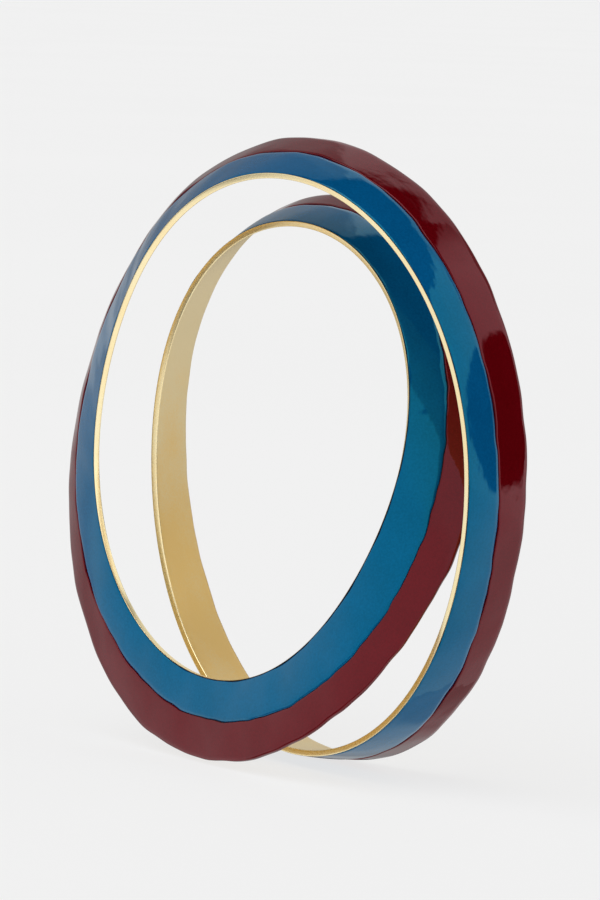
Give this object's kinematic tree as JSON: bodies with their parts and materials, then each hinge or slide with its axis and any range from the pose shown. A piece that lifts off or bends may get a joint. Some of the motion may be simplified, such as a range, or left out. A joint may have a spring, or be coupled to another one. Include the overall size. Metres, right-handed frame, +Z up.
{
  "type": "bangle bracelet",
  "caption": "Rigid slip-on bangle: a gilt metal band winds round the wrist in crossing loops, with blue and burgundy enamel on its outer side.",
  "frame": {"origin": "centre of the bangle's bounding box, which is within 2 mm of the centre of the wrist opening", "axes": "+Y along the wrist, from the front rims to the back; +Z up, across the opening; +X to the right as seen from the front"},
  "size_m": [0.0778, 0.0238, 0.082],
  "materials": {
    "gilt_metal": "satin inside, polished on the narrow front rim",
    "blue_enamel": "glossy, opaque",
    "burgundy_enamel": "glossy, opaque"
  },
  "bodies": {
    "root": {"metal_band": "gilt_metal", "enamel_blue": "blue_enamel", "enamel_burgundy": "burgundy_enamel"}
  },
  "joints": []
}
